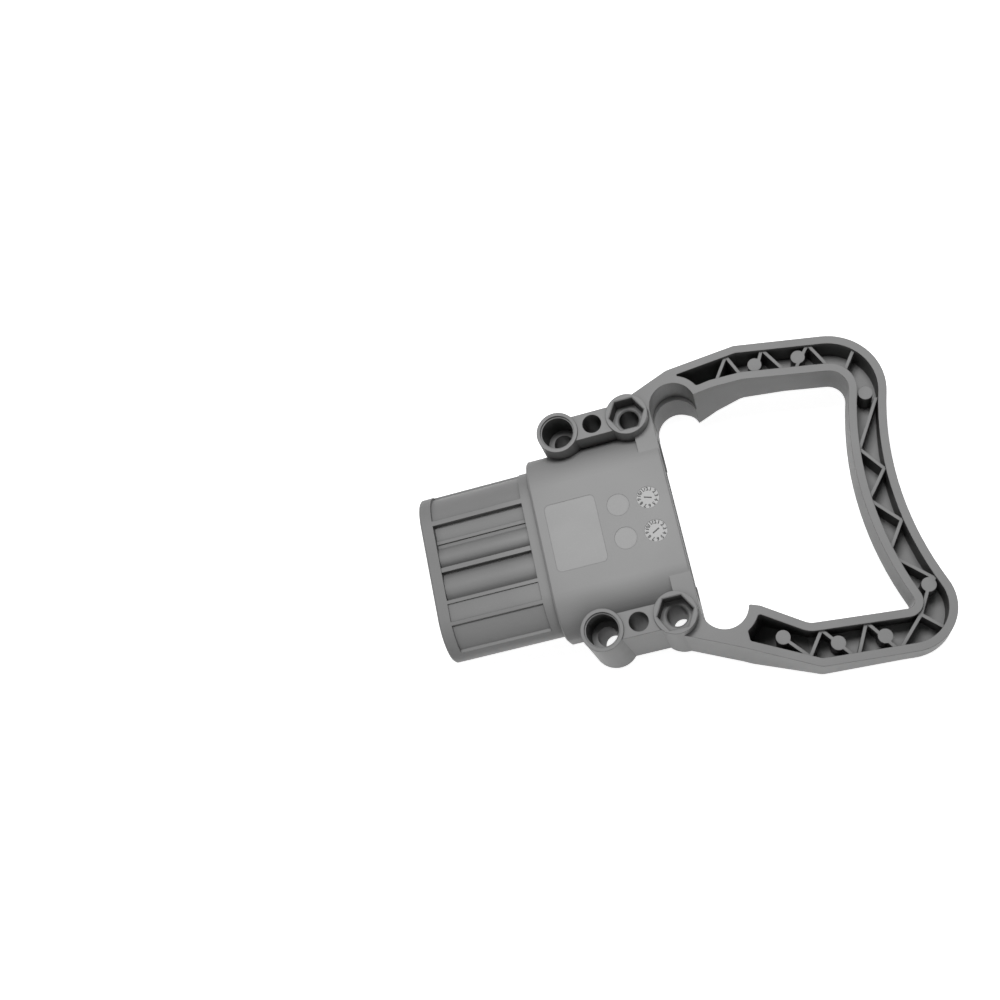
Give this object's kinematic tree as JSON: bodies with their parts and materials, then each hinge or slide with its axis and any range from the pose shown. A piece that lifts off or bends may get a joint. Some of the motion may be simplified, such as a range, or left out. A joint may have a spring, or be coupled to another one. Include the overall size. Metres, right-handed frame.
{
  "type": "two-pole power connector",
  "caption": "Flat oval power connector half with bolting ears, a ribbed carrying handle, main and pilot sockets and a coding pin.",
  "frame": {"origin": "on the flat underside of the body, midway between the four holes of the ears", "axes": "+X from the mating nose to the carrying handle, +Y to the left ear seen from above with the nose pointing away from the handle, +Z from the underside to the ribbed face of the handle"},
  "size_m": [0.1654, 0.1149, 0.0385],
  "materials": {
    "housing_plastic": "moulded satin",
    "coding_plastic": "moulded satin",
    "contact_metal": "silver plated",
    "spring_metal": "bright rolled"
  },
  "bodies": {
    "root": {"housing": "housing_plastic", "coding_pin": "coding_plastic", "main_socket_left": "contact_metal", "main_socket_right": "contact_metal", "pilot_socket_upper": "contact_metal", "pilot_socket_lower": "contact_metal", "contact_band_left": "spring_metal", "contact_band_right": "spring_metal", "retaining_ring_left": "spring_metal", "retaining_ring_right": "spring_metal", "pilot_hood_upper": "spring_metal", "pilot_hood_lower": "spring_metal"}
  },
  "joints": []
}
